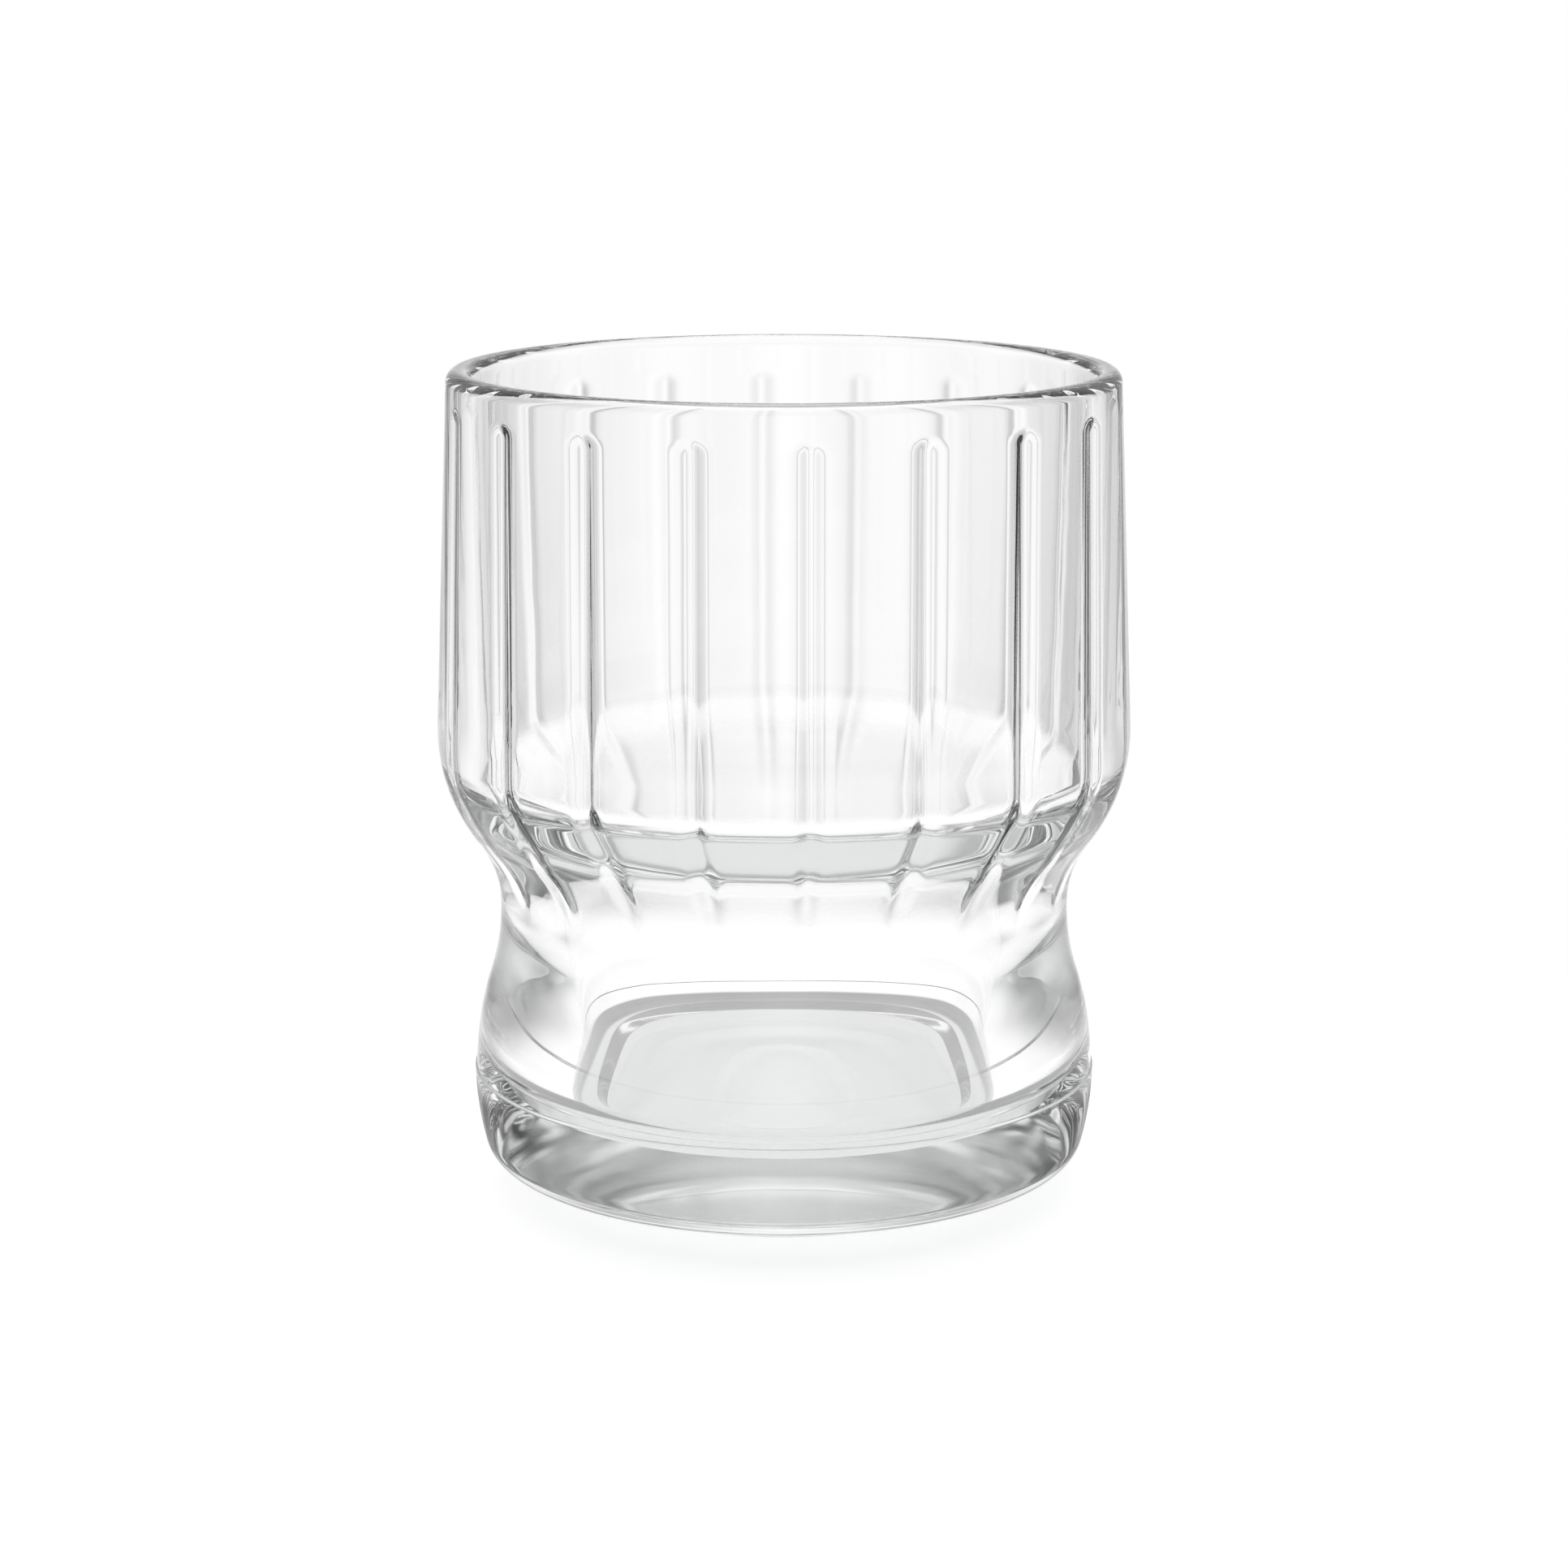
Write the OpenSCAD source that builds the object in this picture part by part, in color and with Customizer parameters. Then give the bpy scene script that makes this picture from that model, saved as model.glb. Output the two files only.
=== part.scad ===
// Whisky tumbler: a waisted glass with soft ribs inside, standing on a heavy bevelled foot.
// Millimetres, +Z up, origin at the centre of the plane that the glass stands on, front towards -Y.
// The glass is one moulding. It is drawn as four zones that meet face to face:
// foot, waist, bowl and rim.

/* [Overall] */
// height from the table to the top of the lip
height = 96; // [92:0.5:104]
// outside diameter under the lip
rim_d = 76.8; // [75:0.2:79]
// lean of the outside wall, which widens downwards, in degrees
wall_draft = 2.4; // [1.6:0.1:2.8]
// thickness of the rounded lip
lip_t = 3; // [2.6:0.1:3.4]

/* [Shoulder and waist] */
// radius of the round shoulder below the wall, in section
shoulder_r = 20; // [16:0.5:22]
// narrowest outside diameter
waist_d = 66.2; // [64:0.2:68]
// height of the narrowest place
waist_z = 33.8; // [32.6:0.2:35]
// radius of the hollow above the narrowest place, in section
waist_r = 14; // [11:0.5:16]

/* [Foot] */
// widest diameter of the foot, at the mould's parting line
foot_d = 72.4; // [71:0.2:75]
// height of the parting line
seam_z = 14.5; // [14:0.1:15.5]
// step that the parting line leaves, the foot standing proud
seam_step = 0.15; // [0.05:0.05:0.3]
// radius of the foot's bulging side, in section
foot_r = 34.5; // [28:0.5:38]
// radius of the edge between the side and the bevel
edge_r = 3.3; // [2.4:0.1:4.4]
// angle of the bevel under the foot, in degrees
bevel = 20; // [17:0.5:23]
// outside diameter of the ring that touches the table
rest_d = 47; // [44:0.5:50]
// width of that ring
rest_w = 3; // [2:0.25:5]
// depth of the recess inside the ring
recess_h = 0.8; // [0.5:0.1:1.4]
// diameter of the low round mark in the middle of the recess
mark_d = 19; // [16:0.5:24]
// height of that mark
mark_h = 0.3; // [0.1:0.05:0.4]

/* [Cavity] */
// lean of the inside wall, which narrows downwards, in degrees
bore_draft = 0.4; // [0.2:0.1:0.7]
// height where the inside wall starts to turn in
ledge_z = 50; // [49:0.25:52]
// radius of that turn, in section
ledge_r = 8; // [6:0.5:9]
// lean of the inside shoulder from upright, in degrees
ledge_lean = 40; // [37:0.5:42]
// radius of the turn from the inside shoulder into the throat, in section
throat_r = 9; // [7:0.5:10]
// narrowest inside diameter, at the throat
throat_d = 48.4; // [46.4:0.2:49]
// how far the well below the throat swells past it on each side
well_flare = 1.5; // [1:0.1:2]
// height where the well is widest
well_z = 18; // [17.8:0.1:18.6]
// height of the floor inside
floor_z = 11.2; // [10.6:0.1:12]
// height of the step round the floor
step_h = 1.8; // [1.2:0.1:2.2]
// how far the step's side leans out over that height
step_run = 1.4; // [0.8:0.1:2]
// flat left between the step and the corner above it
step_edge = 0.5; // [0.3:0.1:1.2]
// radius of the corner between the step and the side of the well
floor_r = 2.2; // [1.6:0.1:3]

/* [Ribs] */
// number of ribs round the inside
rib_count = 18; // [12:1:22]
// turn of the first rib from the front, in degrees
rib_turn = 4.5; // [0:0.5:20]
// width of a rib at the wall
rib_w = 3; // [2:0.1:3.6]
// height of a rib over the wall
rib_h = 0.45; // [0.3:0.05:0.5]
// distance from the top of the lip down to the tops of the ribs
rib_drop = 4; // [3.6:0.1:8]
// how much steeper a rib's tail runs than the inside shoulder, so that it sinks away, in degrees
rib_sink = 3.5; // [3.5:0.25:6]

/* [Hidden] */
$fn = 96;
// how far neighbouring rounds of a section lap over each other, so that they join cleanly
lap = 0.01;
// how far a rib is rooted in the glass
rib_root = 0.4;
// how far a rib's balls are rooted in the glass
ball_root = 0.6;
// glass left between the tops of the ribs' balls and the rim zone
rib_gap = 0.1;
// a length past every radius, for cutting
reach = 60;

// rib crown of one radius, the height of its top ball, and the rim zone above it
rib_r = (rib_w * rib_w / 4 + rib_h * rib_h) / (2 * rib_h);
rib_top = height - rib_drop - rib_w / 2;
rib_rise = sqrt(pow(rib_r + lap, 2) - pow(rib_r - rib_h - ball_root, 2));
rim_z = rib_top + rib_rise + rib_gap;

// lip and outside wall
lip_z = height - lip_t / 2 - lap;
rim_or = rim_d / 2;
function wall_at(z) = rim_or + (lip_z - z) * tan(wall_draft);

// shoulder arc, tangent to the wall and to the arc above the waist
waist_or = waist_d / 2;
waist_c = [waist_or + waist_r, waist_z];
shoulder_0 = [rim_or - shoulder_r * cos(wall_draft), lip_z - shoulder_r * sin(wall_draft)];
shoulder_to = shoulder_0 - waist_c;
shoulder_dir = [sin(wall_draft), -cos(wall_draft)];
shoulder_b = shoulder_to * shoulder_dir;
shoulder_q = shoulder_to * shoulder_to - pow(shoulder_r + waist_r, 2);
shoulder_c = shoulder_0 + (-shoulder_b - sqrt(shoulder_b * shoulder_b - shoulder_q)) * shoulder_dir;
shoulder_top = shoulder_c[1] + shoulder_r * sin(wall_draft);
shoulder_a = atan2(waist_c[1] - shoulder_c[1], waist_c[0] - shoulder_c[0]);
shoulder_low = shoulder_c[1] + shoulder_r * sin(shoulder_a);

// arc from the waist down to the foot, tangent to the foot's side
foot_or = foot_d / 2;
flare_w = foot_or - waist_or;
flare_h = waist_z - seam_z;
flare_sum = (flare_w * flare_w + flare_h * flare_h) / (2 * flare_w);
flare_r = flare_sum - foot_r;
flare_c = [waist_or + flare_r, waist_z];
foot_c = [foot_or - foot_r, seam_z];
flare_low = seam_z + foot_r * flare_h / flare_sum;

// edge arc, tangent to the bevel and inside the foot's side, which stands proud of the seam
base_r = foot_r + seam_step;
edge_0 = [rest_d / 2 - edge_r * sin(bevel), edge_r * cos(bevel)];
edge_dir = [cos(bevel), sin(bevel)];
edge_to = edge_0 - foot_c;
edge_b = edge_to * edge_dir;
edge_q = edge_to * edge_to - pow(base_r - edge_r, 2);
edge_c = edge_0 + (-edge_b + sqrt(edge_b * edge_b - edge_q)) * edge_dir;
edge_a = atan2(edge_c[1] - foot_c[1], edge_c[0] - foot_c[0]);
bevel_top = edge_c + edge_r * [sin(bevel), -cos(bevel)];
edge_top = edge_c[1] + edge_r * sin(edge_a);

// inside wall, the turn at its foot, and the sloping shoulder
bore_or = rim_or - lip_t;
function bore_at(z) = bore_or - (lip_z - z) * tan(bore_draft);
ledge_c = [bore_at(ledge_z) - ledge_r * cos(bore_draft), ledge_z + ledge_r * sin(bore_draft)];
function on_ledge(a) = ledge_c + ledge_r * [cos(a), -sin(a)];
ledge_end = on_ledge(ledge_lean);

// throat arc, tangent to the slope, and the well's arc, tangent to the throat
throat_or = throat_d / 2;
throat_top_r = throat_or + throat_r * (1 - cos(ledge_lean));
slope_l = (ledge_end[0] - throat_top_r) / sin(ledge_lean);
throat_top_z = ledge_end[1] - slope_l * cos(ledge_lean);
throat_c = [throat_or + throat_r, throat_top_z - throat_r * sin(ledge_lean)];
well_or = throat_or + well_flare;
well_h = throat_c[1] - well_z;
well_sum = (well_flare * well_flare + well_h * well_h) / (2 * well_flare);
well_r = well_sum - throat_r;
well_c = [well_or - well_r, well_z];
well_top = well_z + well_r * well_h / well_sum;
step_z = floor_z + step_h;
floor_c = [well_or - floor_r, step_z + floor_r];
step_or = floor_c[0] - step_edge;

// rib's way along the inside wall, round the turn and down the slope
rib_lean = ledge_lean - rib_sink;
rib_bend_end = on_ledge(rib_lean);
rib_tail = min(0.9 * slope_l, rib_h / tan(rib_sink) + 2 * rib_h);

// half section from the axis out to a radius, between two heights
module band(z0, z1, r) {
    polygon([[0, z0], [r, z0], [r, z1], [0, z1]]);
}

// half section between two heights with a straight side
module side(z0, z1, r0, r1) {
    polygon([[0, z0], [r0, z0], [r1, z1], [0, z1]]);
}

// a round of the section, lapping onto its neighbours
module round_at(c, r) {
    translate(c)
        circle(r + lap);
}

// the part of such a round between two heights
module bulge(z0, z1, c, r) {
    intersection() {
        band(z0, z1, reach);
        round_at(c, r);
    }
}

// outside of the foot: bevel, edge and bulging side up to the parting line
module foot_outline() {
    side(0, bevel_top[1], rest_d / 2, bevel_top[0]);
    band(bevel_top[1] - lap, seam_z, edge_c[0]);
    round_at(edge_c, edge_r);
    bulge(edge_top, seam_z, foot_c, base_r - lap);
}

// outside from the parting line up to the narrowest place
module waist_outline() {
    difference() {
        union() {
            band(seam_z, waist_z, waist_or - lip_t);
            band(flare_low, waist_z, flare_c[0]);
            bulge(seam_z, waist_z, foot_c, foot_r);
        }
        round_at(flare_c, flare_r);
    }
}

// outside from the narrowest place over the shoulder and up the wall
module bowl_outline() {
    difference() {
        union() {
            band(waist_z, rim_z, waist_or - lip_t);
            band(waist_z, shoulder_low, waist_c[0]);
            bulge(waist_z, rim_z, shoulder_c, shoulder_r);
            side(shoulder_top, rim_z, wall_at(shoulder_top), wall_at(rim_z));
        }
        round_at(waist_c, waist_r);
    }
}

// inside: floor, its step and corner, well, throat, sloping shoulder, its turn and the wall
module cavity() {
    rotate_extrude()
        difference() {
            union() {
                side(floor_z, step_z + lap, step_or - step_run, step_or);
                band(step_z, floor_c[1] + lap, floor_c[0]);
                round_at(floor_c, floor_r);
                band(floor_c[1], well_z, well_or);
                bulge(floor_c[1], throat_c[1], well_c, well_r);
                band(well_top, throat_top_z + lap, throat_c[0]);
                side(throat_top_z, ledge_end[1], throat_top_r, ledge_end[0]);
                round_at(ledge_c, ledge_r);
                side(ledge_z, height + lip_t, bore_at(ledge_z), bore_at(height + lip_t));
                band(ledge_end[1] - lap, ledge_z + lap, ledge_c[0]);
            }
            round_at(throat_c, throat_r);
        }
}

// recess under the foot, with the low mark left standing in it
module recess() {
    difference() {
        translate([0, 0, -1])
            cylinder(h = recess_h + 1, d = rest_d - 2 * rest_w);
        translate([0, 0, recess_h - mark_h])
            cylinder(h = mark_h + 1, d = mark_d);
    }
}

// rib section: x points into the cavity from the wall, y along the wall
module rib_section() {
    intersection() {
        translate([rib_h - rib_r, 0])
            circle(rib_r);
        translate([-rib_root, -reach / 2])
            square([reach, reach]);
    }
}

// straight run of a rib from a point on the wall, leaning out as it rises
module rib_run(p, lean, length) {
    translate([p[0], 0, p[1]])
        rotate([0, lean, 0])
            mirror([1, 0, 0])
                linear_extrude(length)
                    rib_section();
}

// ball of the crown radius at a point on the wall: a rib's round top, or the joint of two runs
module rib_ball(p, lean) {
    translate([p[0], 0, p[1]])
        rotate([0, lean, 0])
            intersection() {
                translate([rib_r - rib_h, 0, 0])
                    sphere(rib_r + lap);
                translate([ball_root - reach, -reach / 2, -reach / 2])
                    cube(reach);
            }
}

// the rib's way round the turn above the inside shoulder
module rib_bend() {
    translate([ledge_c[0], 0, ledge_c[1]])
        rotate([90, 0, 0])
            rotate([0, 0, -rib_lean])
                rotate_extrude(angle = rib_lean - bore_draft)
                    translate([ledge_r, 0])
                        mirror([1, 0])
                            rib_section();
}

// one rib: round top, wall run, bend, and a tail that sinks into the slope
module rib() {
    rib_ball([bore_at(rib_top), rib_top], bore_draft);
    rib_run([bore_at(ledge_z), ledge_z], bore_draft, (rib_top - ledge_z) / cos(bore_draft));
    rib_ball([bore_at(ledge_z), ledge_z], bore_draft);
    rib_bend();
    rib_ball(rib_bend_end, rib_lean);
    rib_run(rib_bend_end - rib_tail * [sin(rib_lean), cos(rib_lean)], rib_lean, rib_tail);
}

module foot() {
    color([0.86, 0.9, 0.89, 0.35])
        difference() {
            rotate_extrude()
                foot_outline();
            cavity();
            recess();
        }
}

module waist() {
    color([0.86, 0.9, 0.89, 0.35])
        difference() {
            rotate_extrude()
                waist_outline();
            cavity();
        }
}

module bowl() {
    color([0.86, 0.9, 0.89, 0.35]) {
        difference() {
            rotate_extrude()
                bowl_outline();
            cavity();
        }
        for (i = [0 : rib_count - 1])
            rotate([0, 0, rib_turn - 90 + i * 360 / rib_count])
                rib();
    }
}

module rim() {
    color([0.86, 0.9, 0.89, 0.35])
        rotate_extrude() {
            difference() {
                side(rim_z, lip_z, wall_at(rim_z), rim_or);
                side(rim_z - lap, lip_z + lap, bore_at(rim_z - lap), bore_at(lip_z + lap));
            }
            round_at([rim_or - lip_t / 2, lip_z], lip_t / 2);
        }
}

foot();
waist();
bowl();
rim();
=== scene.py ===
"""Whisky tumbler: one seamless glass of revolution with soft ribs inside, on a pale floor.

Lengths in the form classes are millimetres, as in the part's own drawing; meshes are metres.
The section is a closed walk in the (radius, height) half plane: from the middle of the underside,
out over the foot, up the outside, over the lip and down the inside to the middle of the floor.
"""

from __future__ import annotations

import logging
import math
from dataclasses import dataclass, field
from enum import Enum

import bpy
import numpy as np
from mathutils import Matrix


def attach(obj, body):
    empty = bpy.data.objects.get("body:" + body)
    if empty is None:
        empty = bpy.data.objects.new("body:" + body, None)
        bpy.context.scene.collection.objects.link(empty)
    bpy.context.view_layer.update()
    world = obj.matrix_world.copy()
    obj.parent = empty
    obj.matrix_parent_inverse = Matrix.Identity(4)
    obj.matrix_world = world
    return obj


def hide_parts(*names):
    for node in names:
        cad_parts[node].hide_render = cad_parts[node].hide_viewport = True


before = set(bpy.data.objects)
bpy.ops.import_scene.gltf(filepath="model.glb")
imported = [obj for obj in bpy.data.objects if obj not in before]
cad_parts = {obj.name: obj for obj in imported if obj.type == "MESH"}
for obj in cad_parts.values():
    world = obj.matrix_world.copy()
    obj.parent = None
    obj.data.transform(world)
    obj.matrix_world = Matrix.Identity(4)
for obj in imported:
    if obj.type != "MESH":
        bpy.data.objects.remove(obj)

LOG = logging.getLogger("tumbler")
MM = 0.001
WHITE = (1.0, 1.0, 1.0)
CORNER_POINTS = 7
Feed = bpy.types.NodeSocket | float


class Zone(Enum):
    """Stretch of the section, in walking order."""

    UNDER = 0
    OUTSIDE = 1
    LIP = 2
    INSIDE = 3
    FLOOR = 4


def smooth(x: np.ndarray) -> np.ndarray:
    """Ease from 0 to 1.

    Args:
        x: Position, below 0 before the ease and above 1 after it.

    Returns:
        3 x^2 - 2 x^3 of x held between 0 and 1.
    """
    t = np.clip(x, 0.0, 1.0)
    return t * t * (3.0 - 2.0 * t)


def arc(centre: np.ndarray, radius: float, start: float, end: float, step: float) -> np.ndarray:
    """Points on an arc: centre + radius (cos a, sin a) for a from start to end.

    Args:
        centre: Middle of the arc as (radius, height).
        radius: Radius of the arc.
        start: First angle in radians.
        end: Last angle in radians.
        step: Largest distance between points.

    Returns:
        Array of (n, 2) points with both ends.
    """
    n = max(3, int(abs(end - start) * radius / step) + 2)
    a = np.linspace(start, end, n)
    return np.stack([centre[0] + radius * np.cos(a), centre[1] + radius * np.sin(a)], axis=1)


def line(start: np.ndarray, end: np.ndarray, step: float) -> np.ndarray:
    """Evenly spaced points on a straight line.

    Args:
        start: First point.
        end: Last point.
        step: Largest distance between points.

    Returns:
        Array of (n, 2) points with both ends.
    """
    n = max(2, int(math.dist(start, end) / step) + 2)
    return np.linspace(np.asarray(start), np.asarray(end), n)


def eased(corners: list[tuple[float, float]], radius: float, step: float) -> np.ndarray:
    """Broken line whose inner corners are rounded.

    Each corner with turn angle t gives way at a distance radius tan(t / 2) on both sides, and the
    quadratic curve between those two points with the corner as its handle takes its place.

    Args:
        corners: Corner points, first and last included.
        radius: Radius at the inner corners.
        step: Largest distance between points on the straight runs.

    Returns:
        Array of (n, 2) points.
    """
    p = np.asarray(corners, dtype=float)
    parts = [p[:1]]
    u = np.linspace(0.0, 1.0, CORNER_POINTS)[:, None]
    for before, corner, after in zip(p[:-2], p[1:-1], p[2:]):
        a = (before - corner) / np.linalg.norm(before - corner)
        b = (after - corner) / np.linalg.norm(after - corner)
        turn = math.pi - math.acos(float(np.clip(a @ b, -1.0, 1.0)))
        back = radius * math.tan(turn / 2)
        s, e = corner + back * a, corner + back * b
        parts.append(line(parts[-1][-1], s, step)[1:-1])
        parts.append((1 - u) ** 2 * s + 2 * u * (1 - u) * corner + u**2 * e)
    parts.append(line(parts[-1][-1], p[-1], step)[1:])
    return np.concatenate(parts)


@dataclass(frozen=True)
class Spacing:
    """How close the section's points lie: largest distances, closer where the form turns faster.

    The dome and the inside wall have numbers of rows instead, with closer rows from cap_above over
    the tops of the ribs to cap_below under them.
    """

    seam: float = 0.06
    lip: float = 0.28
    corner: float = 0.3
    turn: float = 0.4
    slope: float = 0.6
    shoulder: float = 0.7
    side: float = 0.8
    flat: float = 1.4
    wall: float = 4.0
    dome_rows: int = 34
    rim_rows: int = 4
    cap_rows: int = 15
    wall_rows: int = 12
    cap_above: float = 2.4
    cap_below: float = 1.0


@dataclass(frozen=True)
class GlassForm:
    """Section of the tumbler. The names follow the part's drawing."""

    height: float = 96.0
    rim_r: float = 38.4
    wall_draft: float = math.radians(2.4)
    lip_t: float = 3.0
    shoulder_r: float = 20.0
    waist_or: float = 33.1
    waist_z: float = 33.8
    waist_r: float = 14.0
    foot_or: float = 36.2
    foot_r: float = 34.5
    seam_z: float = 14.5
    seam_step: float = 0.2
    seam_ease: float = 0.3
    seam_reach: float = 0.25
    edge_r: float = 3.3
    bevel: float = math.radians(20.0)
    rest_r: float = 23.5
    rest_w: float = 3.0
    rest_ease: float = 1.5
    recess_h: float = 0.8
    mark_r: float = 7.5
    mark_h: float = 0.12
    mark_run: float = 1.6
    bore_draft: float = math.radians(0.4)
    ledge_z: float = 52.0
    ledge_r: float = 4.0
    ledge_lean: float = math.radians(48.7)
    throat_r: float = 18.0
    well_or: float = 25.5
    well_taper: float = math.radians(-1.0)
    floor_z: float = 10.5
    floor_r: float = 2.2
    step_h: float = 1.8
    step_run: float = 1.4
    step_edge: float = 0.5
    step_ease: float = 0.25
    gap: Spacing = field(default_factory=Spacing)

    @property
    def lip_z(self) -> float:
        """Height of the lip's middle."""
        return self.height - self.lip_t / 2

    @property
    def floor_c(self) -> np.ndarray:
        """Middle of the corner arc between the floor's step and the side of the well."""
        return np.array([self.well_or - self.floor_r, self.floor_z + self.step_h + self.floor_r])

    def bore_at(self, z: np.ndarray) -> np.ndarray:
        """Inside radius of the wall, which narrows downwards by its draft.

        Args:
            z: Heights on the straight wall.

        Returns:
            Radii there.
        """
        return self.rim_r - self.lip_t - (self.lip_z - z) * math.tan(self.bore_draft)

    def under(self) -> np.ndarray:
        """Underside: a shallow dome that eases down to the resting ring, then the bevel.

        The dome is recess_h (1 - smooth(q / inner)), less the low mark in its middle.

        Returns:
            Array of (n, 2) points going out from the axis.
        """
        edge, start = self.edge_centre(), -math.pi / 2 + self.bevel
        bevel_top = edge + self.edge_r * np.array([math.cos(start), math.sin(start)])
        inner = self.rest_r - self.rest_w
        q = np.linspace(0.0, inner, self.gap.dome_rows)
        mark = self.mark_h * (1 - smooth((q - self.mark_r) / self.mark_run))
        dome = self.recess_h * (1 - smooth(q / inner)) - mark
        corners = [(inner, 0.0), (self.rest_r, 0.0), (float(bevel_top[0]), float(bevel_top[1]))]
        ring = eased(corners, self.rest_ease, self.gap.side)
        return np.concatenate([np.stack([q, dome], axis=1), ring[1:]])

    def edge_centre(self) -> np.ndarray:
        """Middle of the edge arc, which touches the bevel and lies inside the foot's bulging side.

        It lies edge_r off the bevel, at foot_r + seam_step - edge_r from the middle of the foot's side.

        Returns:
            The point as (radius, height).
        """
        along = np.array([math.cos(self.bevel), math.sin(self.bevel)])
        off = np.array([-math.sin(self.bevel), math.cos(self.bevel)])
        start = np.array([self.rest_r, 0.0]) + self.edge_r * off
        away = start - np.array([self.foot_or - self.foot_r, self.seam_z])
        b = float(away @ along)
        c = float(away @ away) - (self.foot_r + self.seam_step - self.edge_r) ** 2
        return start + (-b + math.sqrt(b * b - c)) * along

    def foot_side(self, start: float, end: float) -> np.ndarray:
        """Bulging side of the foot, with the mould's parting step eased into it.

        Args:
            start: Angle where the edge arc ends.
            end: Angle where the flare begins.

        Returns:
            Array of (n, 2) points going up.
        """
        centre = np.array([self.foot_or - self.foot_r, self.seam_z])
        seam = self.seam_reach / self.foot_r
        side = np.concatenate(
            [
                arc(centre, self.foot_r, start, -seam, self.gap.side)[1:],
                arc(centre, self.foot_r, -seam, seam, self.gap.seam)[1:-1],
                arc(centre, self.foot_r, seam, end, self.gap.side),
            ]
        )
        past = (side[:, 1] - self.seam_z + self.seam_ease / 2) / self.seam_ease
        proud = self.seam_step * (1 - smooth(past))
        return side + proud[:, None] * (side - centre) / self.foot_r

    def outside(self) -> np.ndarray:
        """Outside: edge, bulging foot, waist, shoulder and wall as arcs that touch each other.

        Returns:
            Array of (n, 2) points going up.
        """
        foot_c = np.array([self.foot_or - self.foot_r, self.seam_z])
        edge_c = self.edge_centre()
        edge_a = math.atan2(edge_c[1] - foot_c[1], edge_c[0] - foot_c[0])
        wide, tall = self.foot_or - self.waist_or, self.waist_z - self.seam_z
        total = (wide * wide + tall * tall) / (2 * wide)
        flare_r = total - self.foot_r
        flare_a = math.asin(tall / total)
        flare_c = np.array([self.waist_or + flare_r, self.waist_z])
        waist_c = np.array([self.waist_or + self.waist_r, self.waist_z])
        down = np.array([math.sin(self.wall_draft), -math.cos(self.wall_draft)])
        level = np.array([math.cos(self.wall_draft), math.sin(self.wall_draft)])
        wall_top = np.array([self.rim_r, self.lip_z])
        start = wall_top - self.shoulder_r * level
        away = start - waist_c
        b = float(away @ down)
        c = float(away @ away) - (self.shoulder_r + self.waist_r) ** 2
        shoulder_c = start + (-b - math.sqrt(b * b - c)) * down
        turn = math.atan2(waist_c[1] - shoulder_c[1], waist_c[0] - shoulder_c[0])
        return np.concatenate(
            [
                arc(edge_c, self.edge_r, -math.pi / 2 + self.bevel, edge_a, self.gap.corner),
                self.foot_side(edge_a, flare_a),
                arc(flare_c, flare_r, math.pi + flare_a, math.pi, self.gap.side)[1:],
                arc(waist_c, self.waist_r, math.pi, math.pi + turn, self.gap.slope)[1:],
                arc(shoulder_c, self.shoulder_r, turn, self.wall_draft, self.gap.shoulder)[1:],
                line(shoulder_c + self.shoulder_r * level, wall_top, self.gap.wall)[1:],
            ]
        )

    def lip(self) -> np.ndarray:
        """Lip: a half round from the outside wall over to the inside wall."""
        middle = np.array([self.rim_r - self.lip_t / 2, self.lip_z])
        return arc(middle, self.lip_t / 2, 0.0, math.pi, self.gap.lip)[1:-1]

    def inside(self, cap_z: float) -> np.ndarray:
        """Inside: wall, turn, sloping shoulder, throat, well and floor corner.

        The throat is the arc that touches the slope and the well's side, which meet at one point.

        Args:
            cap_z: Height of the ribs' round tops, where the points lie closer.

        Returns:
            Array of (n, 2) points going down.
        """
        high, low = cap_z + self.gap.cap_above, cap_z - self.gap.cap_below
        wall = np.concatenate(
            [
                np.linspace(self.lip_z, high, self.gap.rim_rows)[:-1],
                np.linspace(high, low, self.gap.cap_rows)[:-1],
                np.linspace(low, self.ledge_z, self.gap.wall_rows),
            ]
        )
        bore = np.stack([self.bore_at(wall), wall], axis=1)
        lean, taper = self.ledge_lean, self.well_taper
        inward = np.array([-math.cos(self.bore_draft), math.sin(self.bore_draft)])
        ledge_c = bore[-1] + self.ledge_r * inward
        ledge = arc(ledge_c, self.ledge_r, -self.bore_draft, -lean, self.gap.turn)
        slope = np.array([math.sin(lean), math.cos(lean)])
        side = np.array([math.sin(taper), math.cos(taper)])
        corner = arc(self.floor_c, self.floor_r, -taper, -math.pi / 2, self.gap.corner)
        run = np.linalg.solve(np.stack([slope, -side], axis=1), ledge[-1] - corner[0])
        meet = ledge[-1] - run[0] * slope
        back = self.throat_r * math.tan((lean - taper) / 2)
        throat_top = meet + back * slope
        throat_c = throat_top + self.throat_r * np.array([math.cos(lean), -math.sin(lean)])
        return np.concatenate(
            [
                bore,
                ledge[1:],
                line(ledge[-1], throat_top, self.gap.slope)[1:],
                arc(throat_c, self.throat_r, math.pi - lean, math.pi - taper, self.gap.turn)[1:],
                line(meet - back * side, corner[0], self.gap.side)[1:-1],
                corner,
            ]
        )

    def floor(self) -> np.ndarray:
        """Floor inside: flat, with a low step round it that leans outwards.

        Returns:
            Array of (n, 2) points going in to the axis.
        """
        start, top = float(self.floor_c[0]), self.floor_z + self.step_h
        edge = start - self.step_edge
        corners = [(start, top), (edge, top), (edge - self.step_run, self.floor_z), (0.0, self.floor_z)]
        return eased(corners, self.step_ease, self.gap.flat)[1:]


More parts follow.
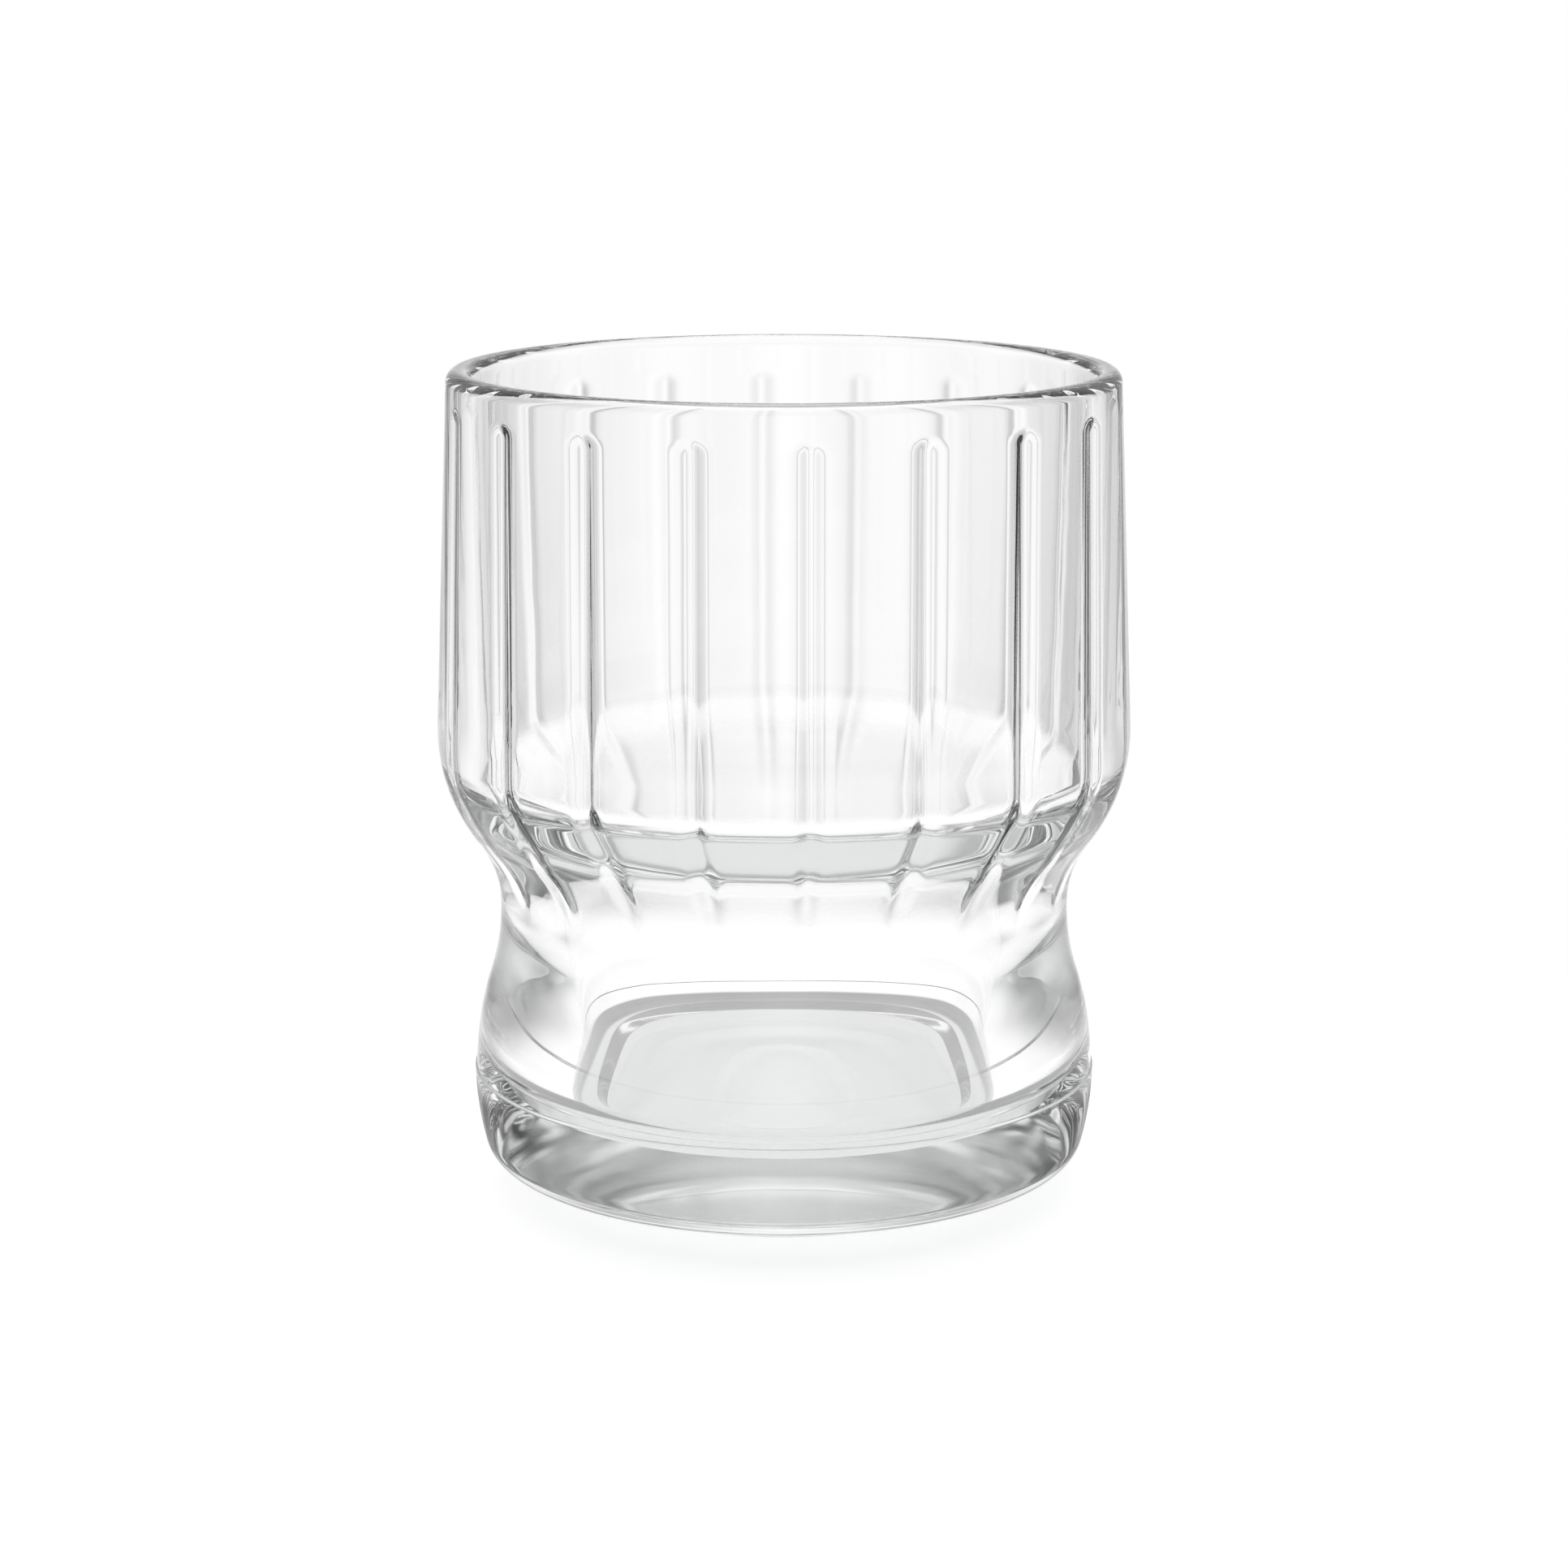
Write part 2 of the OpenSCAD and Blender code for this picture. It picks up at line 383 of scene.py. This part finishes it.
@dataclass(frozen=True)
class RibSet:
    """Soft raised ribs inside the bowl: round on top, sinking away down the sloping shoulder."""

    count: int = 18
    turn: float = math.radians(4.5)
    half_w: float = 1.8
    height: float = 0.4
    cap_z: float = 90.3
    tail_z: float = 46.5
    end_z: float = 33.0
    per_rib: int = 16
    gather: float = 0.62

    def angles(self) -> np.ndarray:
        """Angles of the mesh, closer together on the ribs: u - k sin(2 pi u) / (2 pi) over each spacing.

        Returns:
            One full turn of angles, the first on a rib, with -Y as the front.
        """
        u = np.arange(self.per_rib) / self.per_rib
        warped = u - self.gather * np.sin(2 * np.pi * u) / (2 * np.pi)
        spacing = 2 * np.pi / self.count
        turns = (np.arange(self.count)[:, None] + warped[None]) * spacing
        return turns.ravel() + self.turn - np.pi / 2

    def rise(self, section: np.ndarray, angles: np.ndarray) -> np.ndarray:
        """Height of the ribs over the inside wall.

        A crown is cos^2 of the distance from the rib's middle line, which becomes the distance from
        the line's upper end above it, so that the top is round. Down the slope it eases to nothing.

        Args:
            section: Inside points as (n, 2).
            angles: Angles of the mesh as (m,).

        Returns:
            Array of (n, m) heights.
        """
        spacing = 2 * np.pi / self.count
        off = (angles - self.turn + np.pi / 2 + spacing / 2) % spacing - spacing / 2
        across = section[:, :1] * off[None]
        above = np.maximum(section[:, 1:] - self.cap_z, 0.0)
        away = np.clip(np.hypot(across, above) / self.half_w, 0.0, 1.0)
        fade = smooth((section[:, 1:] - self.end_z) / (self.tail_z - self.end_z))
        return self.height * np.cos(away * np.pi / 2) ** 2 * fade


@dataclass(frozen=True)
class Wiring:
    """Small helper that adds maths nodes to a tree."""

    tree: bpy.types.NodeTree

    def feed(self, socket: bpy.types.NodeSocket, value: Feed) -> None:
        """Give a socket a number, or link another socket to it.

        Args:
            socket: Socket that takes the value.
            value: Number or socket.
        """
        if isinstance(value, float):
            socket.default_value = value
        else:
            self.tree.links.new(value, socket)

    def maths(self, kind: str, a: Feed, b: Feed = 0.0) -> bpy.types.NodeSocket:
        """Add one maths node.

        Args:
            kind: Operation.
            a: First number or socket.
            b: Second number or socket.

        Returns:
            Socket with the result.
        """
        node = self.tree.nodes.new("ShaderNodeMath")
        node.operation = kind
        for socket, value in zip(node.inputs, (a, b)):
            self.feed(socket, value)
        return node.outputs["Value"]

    def ease(
        self, value: bpy.types.NodeSocket, span: tuple[float, float], levels: tuple[float, float]
    ) -> bpy.types.NodeSocket:
        """Ease from one level to another.

        Args:
            value: Socket that is looked at.
            span: Values where the ease begins and ends.
            levels: Levels before and after it.

        Returns:
            Socket with the level.
        """
        node = self.tree.nodes.new("ShaderNodeMapRange")
        node.interpolation_type = "SMOOTHSTEP"
        self.tree.links.new(value, node.inputs["Value"])
        for key, number in zip(("From Min", "From Max", "To Min", "To Max"), (*span, *levels)):
            node.inputs[key].default_value = number
        return node.outputs["Result"]

    def blend(self, share: bpy.types.NodeSocket, low: Feed, high: Feed) -> bpy.types.NodeSocket:
        """Blend one level into another.

        Args:
            share: Share of the second level.
            low: First level.
            high: Second level.

        Returns:
            Socket with the mixed level.
        """
        node = self.tree.nodes.new("ShaderNodeMix")
        for socket, value in zip((node.inputs[0], node.inputs[2], node.inputs[3]), (share, low, high)):
            self.feed(socket, value)
        return node.outputs[0]

    def choose(self, share: Feed, first: bpy.types.Node, second: bpy.types.Node) -> bpy.types.Node:
        """Mix two shaders.

        Args:
            share: Share of the second shader.
            first: Node of the first shader.
            second: Node of the second shader.

        Returns:
            The mixing node.
        """
        mix = self.tree.nodes.new("ShaderNodeMixShader")
        self.feed(mix.inputs["Fac"], share)
        self.tree.links.new(first.outputs[0], mix.inputs[1])
        self.tree.links.new(second.outputs[0], mix.inputs[2])
        return mix


@dataclass(frozen=True)
class ClearGlass:
    """Fire-polished soda-lime glass with a faint mould ripple and a worn underside."""

    name: str = "clear_glass"
    ior: float = 1.51
    body: tuple[float, float, float] = (0.82, 0.88, 0.86)
    density: float = 1.6
    shadow: tuple[float, float, float] = (0.9, 0.92, 0.915)
    ripple_scale: float = 70.0
    ripple_detail: float = 1.5
    ripple_share: float = 0.12
    ripple_depth: float = 0.0004
    under_rough: float = 0.2
    under_span: tuple[float, float] = (0.0015, 0.0040)

    def build(self) -> bpy.types.Material:
        """Make the node material.

        Returns:
            The material: glass for what is seen, a tinted clear pass for shadow rays.
        """
        mat = bpy.data.materials.new(self.name)
        mat.use_nodes = True
        kit = Wiring(mat.node_tree)
        nodes, links = mat.node_tree.nodes, mat.node_tree.links
        glass = nodes["Principled BSDF"]
        out = nodes["Material Output"]
        glass.inputs["Base Color"].default_value = (*WHITE, 1.0)
        glass.inputs["Transmission Weight"].default_value = 1.0
        glass.inputs["IOR"].default_value = self.ior
        coords = nodes.new("ShaderNodeTexCoord")
        ripple = nodes.new("ShaderNodeTexNoise")
        ripple.inputs["Scale"].default_value = self.ripple_scale
        ripple.inputs["Detail"].default_value = self.ripple_detail
        links.new(coords.outputs["Object"], ripple.inputs["Vector"])
        bump = nodes.new("ShaderNodeBump")
        bump.inputs["Strength"].default_value = self.ripple_share
        bump.inputs["Distance"].default_value = self.ripple_depth
        links.new(ripple.outputs["Fac"], bump.inputs["Height"])
        links.new(bump.outputs["Normal"], glass.inputs["Normal"])
        split = nodes.new("ShaderNodeSeparateXYZ")
        links.new(coords.outputs["Object"], split.inputs["Vector"])
        wear = kit.ease(split.outputs["Z"], self.under_span, (self.under_rough, 0.0))
        links.new(wear, glass.inputs["Roughness"])
        clear = nodes.new("ShaderNodeBsdfTransparent")
        clear.inputs["Color"].default_value = (*self.shadow, 1.0)
        path = nodes.new("ShaderNodeLightPath")
        both = kit.choose(path.outputs["Is Shadow Ray"], glass, clear)
        links.new(both.outputs["Shader"], out.inputs["Surface"])
        volume = nodes.new("ShaderNodeVolumeAbsorption")
        volume.inputs["Color"].default_value = (*self.body, 1.0)
        volume.inputs["Density"].default_value = self.density
        links.new(volume.outputs["Volume"], out.inputs["Volume"])
        return mat


@dataclass
class Tumbler:
    """The glass as one closed surface that stands in for the four zones of the drawing."""

    form: GlassForm = field(default_factory=GlassForm)
    ribs: RibSet = field(default_factory=RibSet)
    finish: ClearGlass = field(default_factory=ClearGlass)

    def section(self) -> tuple[np.ndarray, np.ndarray]:
        """Walk round the section.

        Returns:
            Points as (n, 2) and the zone number of each.
        """
        parts = {
            Zone.UNDER: self.form.under(),
            Zone.OUTSIDE: self.form.outside()[1:],
            Zone.LIP: self.form.lip(),
            Zone.INSIDE: self.form.inside(self.ribs.cap_z),
            Zone.FLOOR: self.form.floor(),
        }
        zones = np.concatenate([np.full(len(p), zone.value) for zone, p in parts.items()])
        return np.concatenate(list(parts.values())), zones

    def surface(self) -> np.ndarray:
        """Turn the section about the axis and raise the ribs along its normal.

        A point is (q cos t, q sin t, z) with (q, z) = section + rise * normal, where the normal is
        the section's direction turned by a right angle, away from the glass.

        Returns:
            Grid of (n, m, 3) points in metres.
        """
        section, zones = self.section()
        angles = self.ribs.angles()
        along = np.gradient(section, axis=0)
        along /= np.linalg.norm(along, axis=1, keepdims=True)
        normal = np.stack([along[:, 1], -along[:, 0]], axis=1)
        rise = self.ribs.rise(section, angles) * (zones == Zone.INSIDE.value)[:, None]
        q = section[:, :1] + rise * normal[:, :1]
        z = section[:, 1:] + rise * normal[:, 1:]
        return np.stack([q * np.cos(angles), q * np.sin(angles), z], axis=-1) * MM

    def build(self) -> bpy.types.Object:
        """Make the piece and hand it to the frame.

        Returns:
            The finished object.
        """
        piece = revolved("glass", self.surface())
        piece.data.materials.append(self.finish.build())
        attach(piece, "root")
        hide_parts("foot", "waist", "bowl", "rim")
        LOG.info("glass: %d faces", len(piece.data.polygons))
        return piece


def revolved(name: str, grid: np.ndarray) -> bpy.types.Object:
    """Closed smooth mesh from a grid whose first and last rows lie on the axis.

    Neighbouring rows are joined by quads, and the two end rows become single points with fans.

    Args:
        name: Name of the object.
        grid: Points as (n, m, 3), each row once round.

    Returns:
        The object, linked to the scene.
    """
    rows, m = grid.shape[0] - 2, grid.shape[1]
    verts = np.concatenate([grid[0, :1], grid[1:-1].reshape(-1, 3), grid[-1, :1]])
    j = np.arange(m)
    nxt = (j + 1) % m
    ring = (np.arange(rows - 1) * m)[:, None] + 1
    quads = np.stack([ring + j, ring + nxt, ring + m + nxt, ring + m + j], axis=-1).reshape(-1, 4)
    last = 1 + (rows - 1) * m
    bottom = np.stack([np.zeros(m, dtype=int), 1 + nxt, 1 + j], axis=-1)
    top = np.stack([np.full(m, len(verts) - 1), last + j, last + nxt], axis=-1)
    fans = np.concatenate([bottom, top])
    mesh = bpy.data.meshes.new(name)
    mesh.vertices.add(len(verts))
    mesh.vertices.foreach_set("co", verts.astype(np.float32).ravel())
    corners = np.concatenate([quads.ravel(), fans.ravel()]).astype(np.int32)
    mesh.loops.add(len(corners))
    mesh.loops.foreach_set("vertex_index", corners)
    sizes = np.concatenate([np.full(len(quads), 4), np.full(len(fans), 3)])
    starts = np.concatenate([[0], np.cumsum(sizes)[:-1]]).astype(np.int32)
    mesh.polygons.add(len(sizes))
    mesh.polygons.foreach_set("loop_start", starts)
    mesh.polygons.foreach_set("use_smooth", np.ones(len(sizes), dtype=bool))
    mesh.update(calc_edges=True)
    mesh.validate()
    piece = bpy.data.objects.new(name, mesh)
    bpy.context.scene.collection.objects.link(piece)
    return piece


@dataclass(frozen=True)
class Camera:
    """Photograph's camera: focal length in pixels of a square frame, aimed at a point on the axis."""

    focal_px: float = 4578.0
    frame_px: float = 1932.0
    distance: float = 0.4329
    pitch: float = math.radians(12.48)
    aim_z: float = 0.0473
    sensor: float = 36.0
    nearest: float = 0.01

    def build(self) -> None:
        """Place the camera in front of the glass, on the -Y side."""
        data = bpy.data.cameras.new("camera")
        data.sensor_width = self.sensor
        data.lens = self.sensor * self.focal_px / self.frame_px
        data.clip_start = self.nearest
        cam = bpy.data.objects.new("camera", data)
        away = self.distance * math.cos(self.pitch)
        cam.location = (0.0, -away, self.aim_z + self.distance * math.sin(self.pitch))
        cam.rotation_euler = (math.pi / 2 - self.pitch, 0.0, 0.0)
        bpy.context.scene.collection.objects.link(cam)
        bpy.context.scene.camera = cam


@dataclass(frozen=True)
class Studio:
    """Pale table that fades into a white room, whose soft panels draw the edges of the glass.

    Distances on the table are metres from the axis, and the room's angles are degrees.
    """

    table_fade: tuple[float, float] = (0.09, 0.17)
    table_sides: int = 64
    table_drop: float = 0.00002
    table_pale: float = 0.7
    table_glow: float = 0.62
    # Painted shade on the table, seen only by refracted and mirrored rays: less glow under the glass, none
    # in the ring round the foot.
    under_shade_glow: float = 0.45
    shade_glow: float = 0.0
    far_glow: float = 0.6
    shade_in: tuple[float, float] = (0.030, 0.035)
    shade_out: tuple[float, float] = (0.052, 0.064)
    panels: float = 8.0
    panel: float = 1.0
    between: float = 0.55
    upper: tuple[float, float] = (1.0, 0.05)
    upper_turn: tuple[float, float] = (80.0, 100.0)
    upper_rise: tuple[float, float] = (16.0, 26.0)
    high: float = 0.6
    high_rise: tuple[float, float] = (42.0, 50.0)
    top: float = 1.0
    top_rise: tuple[float, float] = (62.0, 68.0)
    bounces: int = 12

    def build(self) -> None:
        """Make the table and the room's light, and limit the bounces, which keeps the thick foot grey."""
        scene = bpy.context.scene
        scene.view_settings.view_transform = "Standard"
        scene.cycles.max_bounces = self.bounces
        scene.cycles.transmission_bounces = self.bounces
        scene.cycles.glossy_bounces = self.bounces
        self.table()
        self.room()

    def table(self) -> None:
        """Round table top that takes the glass's shadow and fades out at its edge."""
        t = np.linspace(0, 2 * np.pi, self.table_sides, endpoint=False)
        across = self.table_fade[1]
        rim = np.stack([np.cos(t) * across, np.sin(t) * across, np.full_like(t, -self.table_drop)], axis=1)
        disc = bpy.data.meshes.new("floor")
        disc.from_pydata(rim.tolist(), [], [list(range(self.table_sides))])
        disc.materials.append(self.table_finish())
        obj = bpy.data.objects.new("floor", disc)
        bpy.context.scene.collection.objects.link(obj)

    def table_finish(self) -> bpy.types.Material:
        """Matte white, with the room's white added for seen, refracted and mirrored rays.

        Refracted and mirrored rays find a painted shade round the foot: their added glow is lower under
        the glass and nothing in a ring round it, like the shade a standing glass casts.

        Returns:
            The material.
        """
        mat = bpy.data.materials.new("floor")
        mat.use_nodes = True
        nodes, links = mat.node_tree.nodes, mat.node_tree.links
        nodes.clear()
        kit = Wiring(mat.node_tree)
        matte = nodes.new("ShaderNodeBsdfDiffuse")
        matte.inputs["Color"].default_value = (*(self.table_pale * w for w in WHITE), 1.0)
        coords = nodes.new("ShaderNodeTexCoord")
        length = nodes.new("ShaderNodeVectorMath")
        length.operation = "LENGTH"
        links.new(coords.outputs["Object"], length.inputs[0])
        away = length.outputs["Value"]
        # Painted shade for refracted and mirrored rays: lower glow under the glass, none from shade_in out
        # to shade_out.
        under = kit.ease(away, self.shade_in, (self.under_shade_glow, self.shade_glow))
        beyond = kit.ease(away, self.shade_out, (0.0, self.far_glow - self.shade_glow))
        path = nodes.new("ShaderNodeLightPath")
        through = kit.maths("MAXIMUM", path.outputs["Is Transmission Ray"], path.outputs["Is Glossy Ray"])
        inner = kit.maths("MULTIPLY", through, kit.maths("ADD", under, beyond))
        outer = kit.maths("MULTIPLY", path.outputs["Is Camera Ray"], self.table_glow)
        glow = nodes.new("ShaderNodeEmission")
        links.new(kit.maths("ADD", inner, outer), glow.inputs["Strength"])
        lit = nodes.new("ShaderNodeAddShader")
        links.new(matte.outputs["BSDF"], lit.inputs[0])
        links.new(glow.outputs["Emission"], lit.inputs[1])
        clear = nodes.new("ShaderNodeBsdfTransparent")
        faded = kit.choose(kit.ease(away, self.table_fade, (0.0, 1.0)), lit, clear)
        out = nodes.new("ShaderNodeOutputMaterial")
        links.new(faded.outputs["Shader"], out.inputs["Surface"])
        return mat

    def room(self) -> None:
        """World by direction: white panels all round, light above and behind, white for camera rays.

        Round the horizon the level is a cosine wave with one crest for each panel. Higher up it
        blends into the upper band, which is bright behind and nearly dark in front, then into the
        high band and the top. Glass refracts and mirrors these levels.
        """
        world = bpy.data.worlds.new("room")
        bpy.context.scene.world = world
        world.use_nodes = True
        nodes, links = world.node_tree.nodes, world.node_tree.links
        nodes.clear()
        kit = Wiring(world.node_tree)
        coords = nodes.new("ShaderNodeTexCoord")
        split = nodes.new("ShaderNodeSeparateXYZ")
        links.new(coords.outputs["Generated"], split.inputs["Vector"])
        turn = kit.maths("ARCTAN2", split.outputs["X"], split.outputs["Y"])
        rise = kit.maths("ARCSINE", split.outputs["Z"])
        wave = kit.maths("COSINE", kit.maths("MULTIPLY", turn, self.panels))
        level = kit.maths("MULTIPLY", wave, (self.panel - self.between) / 2)
        level = kit.maths("ADD", level, (self.panel + self.between) / 2)
        upper_turn = tuple(map(math.radians, self.upper_turn))
        upper = kit.ease(kit.maths("ABSOLUTE", turn), upper_turn, self.upper)
        bands = ((self.upper_rise, upper), (self.high_rise, self.high), (self.top_rise, self.top))
        for span, new in bands:
            share = kit.ease(rise, tuple(map(math.radians, span)), (0.0, 1.0))
            level = kit.blend(share, level, new)
        path = nodes.new("ShaderNodeLightPath")
        white = kit.blend(path.outputs["Is Camera Ray"], level, 1.0)
        light = nodes.new("ShaderNodeBackground")
        light.inputs["Color"].default_value = (*WHITE, 1.0)
        links.new(white, light.inputs["Strength"])
        out = nodes.new("ShaderNodeOutputWorld")
        links.new(light.outputs["Background"], out.inputs["Surface"])


def main() -> None:
    """Build the glass, the studio and the camera."""
    logging.basicConfig(level=logging.INFO, format="%(message)s")
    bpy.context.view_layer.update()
    Tumbler().build()
    Studio().build()
    Camera().build()


if __name__ == "__main__":
    main()
